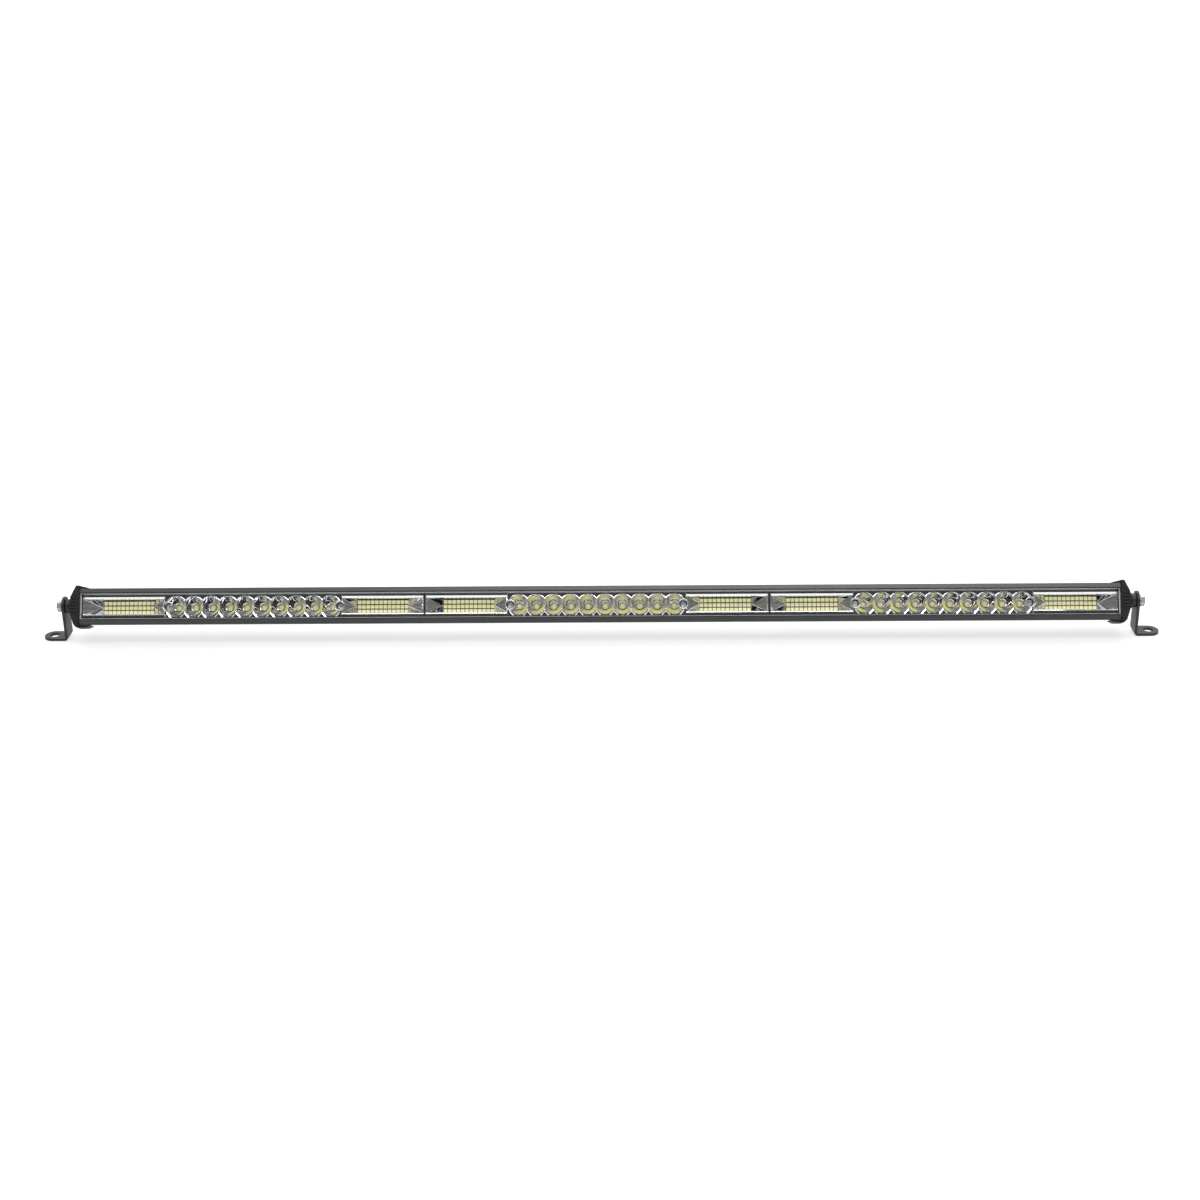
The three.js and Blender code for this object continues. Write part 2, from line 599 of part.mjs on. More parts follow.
function makeBracket(side) {
  const inner = BRACKET_OUTER - PLATE;
  const top = PIVOT_HEIGHT + BRACKET_WIDTH / 2 + 1;
  const tip = BRACKET_OUTER + FOOT_REACH;
  const bend = BEND_INNER_RADIUS;
  const corner = BRACKET_OUTER + bend;
  const profile = new THREE.Shape();
  profile.moveTo(inner, top);
  profile.lineTo(inner, PLATE + bend);
  profile.absarc(corner, PLATE + bend, PLATE + bend, Math.PI, 1.5 * Math.PI, false);
  profile.lineTo(tip, 0);
  profile.lineTo(tip, PLATE);
  profile.lineTo(corner, PLATE);
  profile.absarc(corner, PLATE + bend, bend, 1.5 * Math.PI, Math.PI, true);
  profile.lineTo(BRACKET_OUTER, top);
  const half = BRACKET_WIDTH / 2;
  const angle = plainShape(profile.getPoints(6).map((point) => [side * point.x, point.y]));
  const upright = new THREE.Shape();
  upright.moveTo(-half, -1);
  upright.lineTo(half, -1);
  upright.lineTo(half, PIVOT_HEIGHT);
  upright.absarc(0, PIVOT_HEIGHT, half, 0, Math.PI, false);
  const foot = new THREE.Shape();
  const rounding = side > 0 ? [-Math.PI / 2, Math.PI / 2] : [Math.PI / 2, 1.5 * Math.PI];
  foot.moveTo(side * (inner - 1), side * half);
  foot.lineTo(side * (inner - 1), -side * half);
  foot.absarc(side * (tip - half), 0, half, ...rounding, false);
  const sheet = alongY(angle, -half, half)
    .intersect(alongX(upright, side * (inner - 1), side * (tip + 1), 14))
    .intersect(alongZ(foot, -1, top + 1, 14));
  const footHole = new THREE.Shape();
  footHole.absarc(side * (BRACKET_OUTER + FOOT_HOLE_OFFSET), 0, FOOT_HOLE_RADIUS, 0, Math.PI * 2);
  const pivotHole = new THREE.Shape();
  pivotHole.absarc(0, PIVOT_HEIGHT, PIVOT_BORE, 0, Math.PI * 2);
  return cut(sheet, [
    alongZ(footHole, -2, PLATE + 2, 16),
    alongX(pivotHole, side * (inner - 2), side * (BRACKET_OUTER + 2), 12),
  ]);
}

// the next pieces are drawn about the pivot axis itself
function makePivotBolt(side) {
  const headSeat = BRACKET_OUTER + 1.6;
  const shank = rodX(BOLT_RADIUS, side * 487.8, side * (headSeat + 0.5));
  const head = hexX(HEX_ACROSS_FLATS, side * headSeat, side * (headSeat + BOLT_HEAD_HEIGHT));
  return shank.add(head);
}

function makeSpringWasher(side) {
  const [xa, xb] = [side * (BRACKET_OUTER + 0.2), side * (BRACKET_OUTER + 1.5)];
  const split = box(xa - 1, xb + 1, -0.4, 0.4, 0, 8);
  return cut(rodX(5.1, xa, xb), [rodX(PIVOT_BORE, xa - 2, xb + 2), split]);
}

function makeSpacer(side) {
  const [xa, xb] = [side * (CAP_BOSS_END + 0.2), side * (BRACKET_OUTER - PLATE - 0.2)];
  return rodX(6.6, xa, xb).subtract(rodX(PIVOT_BORE, xa - side, xb + side));
}

function makePivotNut(side) {
  const [xa, xb] = [side * (CAP_INNER + 0.3), side * 492.1];
  return hexX(HEX_ACROSS_FLATS, xa, xb).subtract(rodX(PIVOT_BORE, xa - side, xb + side));
}

// ---------- assembly ----------

const group = new THREE.Group();
group.position.y = PIVOT_Y;
const lamp = new THREE.Group();
lamp.position.z = PIVOT_HEIGHT;
lamp.rotation.x = -REST_TILT;
group.add(lamp);

function addNode(parent, name, solid, look) {
  const mesh = new THREE.Mesh(geometryFrom(solid), new THREE.MeshStandardMaterial(look));
  mesh.name = name;
  parent.add(mesh);
}

addNode(lamp, "housing", makeHousing(), looks.housing);
addNode(lamp, "cover_lens", makeLens(), looks.lens);
addNode(lamp, "lens_seal", makeLensSeal(), looks.rubber);

for (const [place, centre] of Object.entries(MODULES)) {
  addNode(lamp, `reflector_${place}`, makeReflector(centre), looks.reflector);
  addNode(lamp, `led_board_${place}`, makeBoard(centre), looks.board);
  [-1, 1].forEach((side, i) => {
    const screw = makeReflectorScrew(centre + side * BOSS_OFFSET);
    addNode(lamp, `reflector_screw_${place}_${i + 1}`, screw, looks.zinc);
  });
}

for (const [place, side] of Object.entries(SIDES)) {
  const seam = (side * MODULE_PITCH) / 2;
  addNode(lamp, `link_wire_${place}_positive`, makeLinkWire(seam, 11.3), looks.wireRed);
  addNode(lamp, `link_wire_${place}_negative`, makeLinkWire(seam, -11.3), looks.wireBlack);
  addNode(lamp, `end_gasket_${place}`, makeEndGasket(side), looks.rubber);
  addNode(lamp, `end_cap_${place}`, makeEndCap(side), looks.cap);
  screwPorts.forEach(([depth, height], i) => {
    const screw = makeCapScrew(side, depth, height);
    addNode(lamp, `cap_screw_${place}_${i + 1}`, screw, looks.blackScrew);
  });
  addNode(lamp, `pivot_nut_${place}`, makePivotNut(side), looks.zinc);
  addNode(lamp, `pivot_spacer_${place}`, makeSpacer(side), looks.nylon);
  addNode(lamp, `spring_washer_${place}`, makeSpringWasher(side), looks.zinc);
  addNode(lamp, `pivot_bolt_${place}`, makePivotBolt(side), looks.zinc);
  addNode(group, `bracket_${place}`, makeBracket(side), looks.bracket);
}

addNode(lamp, "gland_body", makeGlandBody(), looks.nylon);
addNode(lamp, "gland_nut", makeGlandNut(), looks.nylon);
addNode(lamp, "gland_insert", makeGlandInsert(), looks.rubber);
addNode(lamp, "vent_plug", makeVentPlug(), looks.nylon);

export default group;
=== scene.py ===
"""LED light bar: finishes, mirror optics, LED packages and a plain studio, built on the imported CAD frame."""

import json
import math

import bmesh
import bpy
from mathutils import Matrix, Quaternion, Vector

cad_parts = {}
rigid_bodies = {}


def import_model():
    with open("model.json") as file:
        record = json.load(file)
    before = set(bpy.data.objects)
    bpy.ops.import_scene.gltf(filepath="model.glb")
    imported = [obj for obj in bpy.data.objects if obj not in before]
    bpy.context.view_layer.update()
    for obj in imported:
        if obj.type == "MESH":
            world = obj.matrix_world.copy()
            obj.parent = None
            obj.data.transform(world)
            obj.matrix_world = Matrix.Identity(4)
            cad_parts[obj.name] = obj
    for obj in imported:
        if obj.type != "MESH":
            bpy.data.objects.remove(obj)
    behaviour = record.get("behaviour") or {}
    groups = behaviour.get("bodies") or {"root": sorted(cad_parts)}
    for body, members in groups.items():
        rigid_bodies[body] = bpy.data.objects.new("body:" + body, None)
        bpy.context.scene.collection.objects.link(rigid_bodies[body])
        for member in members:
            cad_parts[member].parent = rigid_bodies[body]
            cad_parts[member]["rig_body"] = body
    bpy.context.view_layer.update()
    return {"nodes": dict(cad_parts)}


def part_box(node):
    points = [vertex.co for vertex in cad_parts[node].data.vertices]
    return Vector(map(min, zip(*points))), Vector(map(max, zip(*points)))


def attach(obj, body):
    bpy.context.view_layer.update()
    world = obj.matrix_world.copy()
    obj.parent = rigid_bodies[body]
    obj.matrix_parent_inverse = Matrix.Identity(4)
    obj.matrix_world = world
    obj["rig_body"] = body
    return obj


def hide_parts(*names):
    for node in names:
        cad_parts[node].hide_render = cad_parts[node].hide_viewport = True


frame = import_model()

# ---------- dimensions, in millimetres ----------
# Points of the lamp are written (x, depth behind its front plane, height above its middle).

MM = 0.001
REST_TILT = math.radians(30)
FRONT_TO_PIVOT = 17.8
PIVOT_ABOVE_MIDDLE = 2.2
VIEW_DEPTH = -30  # surfaces are turned to face a point this far in front of the lamp

# Reflector modules, end to end.
MODULE_PITCH = 322.8
MODULE_HALF = 161.2
END_EXTENSION = 1.6
MODULES = {"left": -MODULE_PITCH, "centre": 0.0, "right": MODULE_PITCH}
SIDES = ("left", "right")
REFLECTOR_FRONT = 5.2
REFLECTOR_REAR = 19.0
FLANGE_HALF = 12.3

# Spot cups: paraboloids with a rounded rim, a ring that slopes back from it, and beads below them.
CUP_COUNT = 10
CUP_PITCH = 16.2
CUP_OFFSETS = [(i - (CUP_COUNT - 1) / 2) * CUP_PITCH for i in range(CUP_COUNT)]
CUP_RIM = 9.2
CUP_HOLE = 3.4
CUP_FOOT = 4.1
CUP_FOOT_DEPTH = 16.0
CUP_OPENING = (CUP_RIM**2 - CUP_FOOT**2) / (CUP_FOOT_DEPTH - REFLECTOR_FRONT)
FOOT_CHAMFER = 0.3
RIM_ROUND = 0.5
RIM_FLAT = 0.1
RIDGE_ROUND = 0.3  # the rounding where two cups meet
RING_WIDTH = 0.9
RING_DROP = 0.6
RING_DEPTH = REFLECTOR_FRONT + RING_DROP
CHEVRON_TIP = 6.3
CHEVRON_REACH = (3.5, 4.1)
CHEVRON_WIDTH = 1.5
CHEVRON_RISE = 0.42
CHEVRON_END_SHIFT = 0.6

# Flood troughs.
FLOOD_CENTRE = 120.7
SLOT_HALF_LENGTH = 24.4
SLOT_HALF_HEIGHT = 7.0
TROUGH_RIM = {-1: 7.7, 1: 8.9}  # below and above the middle
FLARE_DEPTH = 1.2
OUTER_FOLD_RISE = 4.0
INNER_FOLD_RISE = 7.0
OUTER_SLOPE = 15.1
INNER_SLOPE = 12.9
FOLD_ROUND = 0.3

# Screw bosses and their screws.
BOSS_OFFSET = 81.2
BOSS_RADIUS = 5.05
BOSS_BORE = 3.9
BOSS_TOP = 5.25
BOSS_SEAT = 13.2
SCREW_HOLE = 1.7
SCREW_HEAD_RADIUS = 2.6
SCREW_HEAD_HEIGHT = 1.98
SCREW_HEAD_FLAT = 1.75
SCREW_HEAD_ROUND = 0.9
SCREW_SEAT_GAP = 0.3
SCREW_RADIUS = 1.4
SCREW_END = 23.7
RECESS_REACH = 1.55
RECESS_HALF_WIDTH = 0.36
RECESS_DEPTH = 1.0
RECESS_TAPER = 0.6  # the floor of the cross over its mouth

# LED boards, with flat packages under the troughs and domed LEDs under the cups.
BOARD_HALF_LENGTH = 156.0
BOARD_HALF_HEIGHT = 12.0
BOARD_FRONT = 19.3
BOARD_THICKNESS = 1.6
CHIP_COLUMNS = 12
CHIP_ROWS = 3
CHIP_COLUMN_PITCH = 4.05
CHIP_ROW_PITCH = 4.35
CHIP_WIDTH = 3.6
CHIP_HEIGHT = 3.55
CHIP_THICKNESS = 0.7
CHIP_BORDER = 0.22
WINDOW_SINK = 0.12
EMITTER_BASE = 0.4
EMITTER_BASE_RADIUS = CUP_HOLE - 0.1
EMITTER_BASE_GAP = 0.02
EMITTER_RADIUS = 1.8
EMITTER_RISE = 0.5
EMITTER_POLE = 0.001  # radius of the ring that closes the dome

# How finely the curves are cut.
CUP_STEP_DEGREES = 6
CUP_WALL_STEPS = 9
EDGE_STEPS = 3
BOSS_SIDES = 32
CROWN_STEPS = 8
SCREW_HEAD_STEPS = 4
RECESS_EDGE_STEPS = 2
EMITTER_SIDES = 20
DOME_STEPS = 6
FOLD_SEGMENTS = 2
CREASE_ANGLE = math.radians(8)
CORNER_ANGLE = math.radians(35)
FLAT_ANGLE = math.radians(0.5)
WELD = 0.002
CUT_MARGIN = 1e-4
TINY = 1e-6

axle_low, axle_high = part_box("pivot_bolt_left")
axle = (axle_low + axle_high) / 2
LAMP = (
    Matrix.Translation((0, axle.y, axle.z))
    @ Matrix.Rotation(-REST_TILT, 4, "X")
    @ Matrix.Translation((0, -FRONT_TO_PIVOT * MM, -PIVOT_ABOVE_MIDDLE * MM))
    @ Matrix.Scale(MM, 4)
)

# ---------- materials ----------

NOISE_LOW = 0.25
NOISE_HIGH = 0.75
CLOUD_SCALE = 60
COAT_SPREAD = 0.05
SMOOTHEST = 0.9
ROUGHEST = 1.15
COVER_MIRROR = 0.04  # the share of light that the lens mirrors face on
GRAZING_POWER = 5


def new_material(name):
    material = bpy.data.materials.new(name)
    material.use_nodes = True
    tree = material.node_tree
    return material, tree.nodes, tree.links, tree.nodes["Principled BSDF"]


def noise(nodes, links, scale, detail):
    place = nodes.new("ShaderNodeTexCoord")
    texture = nodes.new("ShaderNodeTexNoise")
    texture.inputs["Scale"].default_value = scale
    texture.inputs["Detail"].default_value = detail
    links.new(place.outputs["Object"], texture.inputs["Vector"])
    return texture.outputs["Fac"]


def ranged(nodes, links, value, low, high):
    """The middle of a noise value's range, spread from low to high."""
    mapped = nodes.new("ShaderNodeMapRange")
    mapped.inputs["From Min"].default_value = NOISE_LOW
    mapped.inputs["From Max"].default_value = NOISE_HIGH
    mapped.inputs["To Min"].default_value = low
    mapped.inputs["To Max"].default_value = high
    links.new(value, mapped.inputs["Value"])
    return mapped.outputs["Result"]


def tinted(nodes, links, value, dark, light):
    mix = nodes.new("ShaderNodeMix")
    mix.data_type = "RGBA"
    mix.inputs["A"].default_value = (*dark, 1)
    mix.inputs["B"].default_value = (*light, 1)
    links.new(ranged(nodes, links, value, 0, 1), mix.inputs["Factor"])
    return mix.outputs["Result"]


def bumped(nodes, links, shader, value, distance):
    bump = nodes.new("ShaderNodeBump")
    bump.inputs["Distance"].default_value = distance * MM
    links.new(value, bump.inputs["Height"])
    links.new(bump.outputs["Normal"], shader.inputs["Normal"])


def powder_coat(name, dark, light, roughness, gloss, grain, relief):
    """Satin black coat: a fine orange-peel relief, with its tone and gloss broken up slightly."""
    material, nodes, links, shader = new_material(name)
    clouds = noise(nodes, links, CLOUD_SCALE, 3)
    peel = noise(nodes, links, grain, 2)
    links.new(tinted(nodes, links, clouds, dark, light), shader.inputs["Base Color"])
    sheen = ranged(nodes, links, peel, roughness - COAT_SPREAD, roughness + COAT_SPREAD)
    links.new(sheen, shader.inputs["Roughness"])
    shader.inputs["Specular IOR Level"].default_value = gloss
    bumped(nodes, links, shader, peel, relief)
    return material


def plain(name, colour, roughness, metallic=0.0, variation=0.15, scale=300):
    """One colour, with its tone and gloss broken up by fine spots."""
    material, nodes, links, shader = new_material(name)
    spots = noise(nodes, links, scale, 2)
    dark = [c * (1 - variation) for c in colour]
    links.new(tinted(nodes, links, spots, dark, colour), shader.inputs["Base Color"])
    sheen = ranged(nodes, links, spots, roughness * SMOOTHEST, roughness * ROUGHEST)
    links.new(sheen, shader.inputs["Roughness"])
    shader.inputs["Metallic"].default_value = metallic
    return material


def painted_glow(material, colour, strength):
    """Painted glow: a faint light of its own that brightens an LED phosphor, though the LEDs are off."""
    shader = material.node_tree.nodes["Principled BSDF"]
    shader.inputs["Emission Color"].default_value = (*colour, 1)
    shader.inputs["Emission Strength"].default_value = strength


def clear_cover(name):
    """Polished polycarbonate sheet: see-through, with a mirror layer that grows towards grazing angles."""
    material, nodes, links, shader = new_material(name)
    shader.inputs["Base Color"].default_value = (1, 1, 1, 1)
    shader.inputs["Metallic"].default_value = 1
    shader.inputs["Roughness"].default_value = 0.03
    clear = nodes.new("ShaderNodeBsdfTransparent")
    clear.inputs["Color"].default_value = (0.985, 0.99, 0.99, 1)
    facing = nodes.new("ShaderNodeLayerWeight")
    facing.inputs["Blend"].default_value = 0.5
    grazing = nodes.new("ShaderNodeMath")
    grazing.operation = "POWER"
    grazing.inputs[1].default_value = GRAZING_POWER
    gloss = nodes.new("ShaderNodeMapRange")
    gloss.inputs["To Min"].default_value = COVER_MIRROR
    mix = nodes.new("ShaderNodeMixShader")
    links.new(facing.outputs["Facing"], grazing.inputs[0])
    links.new(grazing.outputs["Value"], gloss.inputs["Value"])
    links.new(gloss.outputs["Result"], mix.inputs["Fac"])
    links.new(clear.outputs["BSDF"], mix.inputs[1])
    links.new(shader.outputs["BSDF"], mix.inputs[2])
    links.new(mix.outputs["Shader"], nodes["Material Output"].inputs["Surface"])
    return material


housing_coat = powder_coat(
    "housing_coat", dark=(0.012, 0.0122, 0.0128), light=(0.018, 0.0183, 0.0192),
    roughness=0.4, gloss=0.5, grain=1500, relief=0.05,
)
cap_coat = powder_coat(
    "cap_coat", dark=(0.008, 0.008, 0.0085), light=(0.013, 0.013, 0.0135),
    roughness=0.5, gloss=0.35, grain=1100, relief=0.1,
)
bracket_coat = powder_coat(
    "bracket_coat", dark=(0.013, 0.0133, 0.0138), light=(0.018, 0.0183, 0.019),
    roughness=0.45, gloss=0.35, grain=1300, relief=0.06,
)
chrome = plain("aluminised", (0.9, 0.9, 0.91), 0.035, metallic=1, variation=0.03, scale=120)
zinc = plain("zinc_plate", (0.6, 0.61, 0.62), 0.38, metallic=1, variation=0.12, scale=700)
bright_steel = plain("bright_steel", (0.85, 0.85, 0.86), 0.5, metallic=1, variation=0.08, scale=600)
black_screw = plain("black_oxide", (0.05, 0.05, 0.052), 0.36, metallic=0.8, variation=0.2, scale=900)
nylon = plain("moulded_nylon", (0.018, 0.018, 0.019), 0.5, variation=0.2, scale=500)
rubber = plain("rubber", (0.012, 0.012, 0.013), 0.75, variation=0.2, scale=400)
wire_red = plain("wire_red", (0.35, 0.02, 0.02), 0.4)
wire_black = plain("wire_black", (0.012, 0.012, 0.012), 0.4)
solder_mask = plain("solder_mask", (0.1, 0.095, 0.08), 0.5, variation=0.1, scale=200)
package_white = plain("package_white", (0.8, 0.79, 0.74), 0.45, variation=0.06, scale=900)
phosphor_and_painted_glow = plain("phosphor_and_painted_glow", (0.88, 0.83, 0.42), 0.3, variation=0.08, scale=1500)
# painted glow: the flat packages' yellow phosphor lights itself, which lifts the unlit chips
painted_glow(phosphor_and_painted_glow, (1.0, 0.94, 0.5), 0.4)
spot_phosphor_and_painted_glow = plain("spot_phosphor_and_painted_glow", (0.82, 0.76, 0.24), 0.25, variation=0.08, scale=1500)
# painted glow: the domed LEDs' yellow phosphor lights itself as well
painted_glow(spot_phosphor_and_painted_glow, (1.0, 0.92, 0.3), 0.3)
# painted highlight: an opaque light grey on the lens's rounded edges stands in for the reflection along its
# polished edge
painted_edge_highlight = plain("painted_edge_highlight", (0.8, 0.82, 0.82), 0.6, variation=0.1, scale=400)
clear_lens = clear_cover("clear_polycarbonate")

# ---------- mesh helpers ----------


class Sheet:
    """Open surfaces gathered in the lamp's millimetres, each turned to face a given point."""

    def __init__(self):
        self.mesh = bmesh.new()

    def grid(self, rows, toward, smooth=True, material=0, closed=False):
        """Quads between rows of equally many points; closed joins the last row to the first."""
        loops = [[self.mesh.verts.new(point) for point in row] for row in rows]
        pairs = list(zip(loops, loops[1:]))
        if closed:
            pairs.append((loops[-1], loops[0]))
        for near, far in pairs:
            for i in range(len(near) - 1):
                self.face([near[i], near[i + 1], far[i + 1], far[i]], toward, smooth, material)

    def face(self, corners, toward, smooth=False, material=0):
        verts = [c if isinstance(c, bmesh.types.BMVert) else self.mesh.verts.new(c) for c in corners]
        face = self.mesh.faces.new(verts)
        face.normal_update()
        if face.normal.dot(Vector(toward) - face.calc_center_median()) < 0:
            face.normal_flip()
        face.smooth = smooth
        face.material_index = material

    def finish(self, name, materials):
        """The gathered surfaces as one object that belongs to the lamp."""
        bmesh.ops.remove_doubles(self.mesh, verts=self.mesh.verts, dist=WELD)
        self.mesh.transform(LAMP)
        data = bpy.data.meshes.new(name)
        self.mesh.to_mesh(data)
        self.mesh.free()
        for material in materials:
            data.materials.append(material)
        shown = bpy.data.objects.new(name, data)
        bpy.context.scene.collection.objects.link(shown)
        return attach(shown, "lamp")


def bezier(a, b, c, steps):
    """Points after a, up to and including c, on the curve that starts towards b."""
    a, b, c = Vector(a), Vector(b), Vector(c)
    curve = []
    for i in range(1, steps + 1):
        t = i / steps
        curve.append(a * (1 - t) ** 2 + b * 2 * t * (1 - t) + c * t**2)
    return curve


def revolved(sheet, x, profile, sides, smooth=True, material=0):
    """A profile of (radius, depth) points turned about an axis at x that runs along the depth."""
    rows = []
    for i in range(sides):
        angle = 2 * math.pi * i / sides
        rows.append([(x + r * math.cos(angle), depth, r * math.sin(angle)) for r, depth in profile])
    sheet.grid(rows, (x, VIEW_DEPTH, 0), smooth, material, closed=True)


def dressed(node, material, edge, segments=2, edge_material=None):
    """A copy of a CAD node with its corners rounded by edge, which is shown in its place."""
    source = frame["nodes"][node]
    work = bmesh.new()
    work.from_mesh(source.data)
    bmesh.ops.remove_doubles(work, verts=work.verts, dist=WELD * MM)
    bmesh.ops.dissolve_limit(
        work, angle_limit=FLAT_ANGLE, verts=work.verts, edges=work.edges, delimit=set()
    )
    for face in work.faces:
        face.smooth = True
        face.material_index = 0
    data = bpy.data.meshes.new(f"{node}_finished")
    work.to_mesh(data)
    work.free()
    data.materials.append(material)
    shown = bpy.data.objects.new(f"{node}_finished", data)
    bpy.context.scene.collection.objects.link(shown)
    bevel = shown.modifiers.new("rounded edges", "BEVEL")
    bevel.width = edge * MM
    bevel.segments = segments
    bevel.limit_method = "ANGLE"
    bevel.angle_limit = CORNER_ANGLE
    if edge_material:
        data.materials.append(edge_material)
        bevel.material = 1
    normals = shown.modifiers.new("flat faces stay flat", "WEIGHTED_NORMAL")
    normals.keep_sharp = True
    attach(shown, source["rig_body"])
    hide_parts(node)


# ---------- mirror optics ----------


def cup_depth(radius):
    return CUP_FOOT_DEPTH - (radius**2 - CUP_FOOT**2) / CUP_OPENING


def cup_radius(depth):
    return math.sqrt(CUP_FOOT**2 + CUP_OPENING * (CUP_FOOT_DEPTH - depth))


def cup_angles():
    """Angles round a cup, with one wherever its rim or its ring meets the ridge beside it."""
    rim, ring = (math.degrees(math.acos(CUP_PITCH / 2 / r)) for r in (CUP_RIM, CUP_RIM + RING_WIDTH))
    near = [-ring, -rim, rim, ring]
    stops = near + [180 + angle for angle in near] + [360 - ring]
    angles = []
    for low, high in zip(stops, stops[1:]):
        steps = max(1, round((high - low) / CUP_STEP_DEGREES))
        angles += [math.radians(low + (high - low) * i / steps) for i in range(steps)]
    return angles


def cup_row(angle, limited):
    """Radii and depths up the wall at one angle, then over the rim and down its ring, or onto the ridge."""
    lean = abs(math.cos(angle))
    reach = CUP_PITCH / 2 / lean if limited and lean > TINY else math.inf
    on_ridge = reach < CUP_RIM - TINY
    if on_ridge:
        wall_end = reach - RIDGE_ROUND
    else:
        wall_end = cup_radius(REFLECTOR_FRONT + RIM_ROUND)
    foot = (CUP_HOLE + FOOT_CHAMFER, CUP_FOOT_DEPTH)
    row = [(CUP_HOLE, REFLECTOR_REAR), (CUP_HOLE, CUP_FOOT_DEPTH + FOOT_CHAMFER), foot]
    for i in range(CUP_WALL_STEPS + 1):
        radius = CUP_FOOT + (wall_end - CUP_FOOT) * i / CUP_WALL_STEPS
        row.append((radius, cup_depth(radius)))
    end = row[-1]
    if on_ridge:
        crown = (reach, (end[1] + cup_depth(reach)) / 2)
        middle = ((end[0] + reach) / 2, crown[1])
        row += [*bezier(end, middle, crown, EDGE_STEPS), crown]
    else:
        lip = (CUP_RIM + RIM_FLAT, REFLECTOR_FRONT)
        row += bezier(end, (CUP_RIM, REFLECTOR_FRONT), lip, EDGE_STEPS)
        outer = min(CUP_RIM + RING_WIDTH, reach)
        row.append((outer, REFLECTOR_FRONT + RING_DROP * (outer - CUP_RIM) / RING_WIDTH))
    return row


def add_cup(sheet, x, side_open):
    """One spot cup. side_open is -1 or 1 where there is no cup on that side, and 0 between two cups."""
    toward = (x, VIEW_DEPTH, 0)
    rows = []
    for angle in cup_angles():
        profile = cup_row(angle, math.cos(angle) * side_open <= 0)
        rows.append([(x + r * math.cos(angle), depth, r * math.sin(angle)) for r, depth in profile])
    sheet.grid(rows, toward, closed=True)
    low_ends = [row[-1] for row in rows if abs(row[-1][1] - RING_DEPTH) < WELD]
    for up in (-1, 1):
        ring = sorted(point for point in low_ends if point[2] * up >= -TINY)
        edge = [(point[0], RING_DEPTH, up * FLANGE_HALF) for point in ring]
        sheet.grid([ring, edge], toward, smooth=False)


def add_chevron(sheet, x, arms=(-1, 1)):
    """A raised mirror bead shaped like a V below two cups, or one arm of it beside the last cup."""
    for side in arms:
        along = Vector((side * CHEVRON_REACH[0], CHEVRON_REACH[1])).normalized()
        across = Vector((along.y, -along.x)) * CHEVRON_WIDTH / 2
        lines = []
        for shift, depth in ((-1, RING_DEPTH), (-side / 2, RING_DEPTH - CHEVRON_RISE), (1, RING_DEPTH)):
            start = Vector((0, CHEVRON_TIP)) + across * shift
            start -= along * (start.x / along.x)
            stop = Vector((side * CHEVRON_REACH[0], CHEVRON_TIP + CHEVRON_REACH[1])) + across * shift
            lines.append([(x + p.x, depth, -p.y) for p in (start, stop)])
        sheet.grid(lines, (x, VIEW_DEPTH, 0), smooth=False)


def add_folded_end(walls, rim_x, throat_x, slot_x, rise, toward):
    """One end of a trough: the flare, then a triangle whose tip stands over the end of the LED slot."""
    throat = REFLECTOR_FRONT + FLARE_DEPTH
    apex = (slot_x, REFLECTOR_REAR - rise, 0)
    low, high = ((throat_x, throat, up * SLOT_HALF_HEIGHT) for up in (-1, 1))
    rim_low, rim_high = ((rim_x, REFLECTOR_FRONT, up * TROUGH_RIM[up]) for up in (-1, 1))
    walls.face([high, low, apex], toward)
    walls.face([rim_high, rim_low, low, high], toward)
    for neck, up in ((low, -1), (high, 1)):
        corner = (slot_x, REFLECTOR_REAR, up * SLOT_HALF_HEIGHT)
        walls.face([neck, apex, corner], toward)
        walls.face([apex, (slot_x, REFLECTOR_REAR, 0), corner], toward)


def round_creases(mesh):
    """Round every fold of the sheet, and leave its outer edges as they are."""
    bmesh.ops.remove_doubles(mesh, verts=mesh.verts, dist=WELD)
    inner = [edge for edge in mesh.edges if len(edge.link_faces) == 2]
    creases = [edge for edge in inner if edge.calc_face_angle() > CREASE_ANGLE]
    bmesh.ops.bevel(
        mesh, geom=creases, offset=FOLD_ROUND, offset_type="OFFSET", segments=FOLD_SEGMENTS, profile=0.5,
        affect="EDGES", clamp_overlap=True,
    )


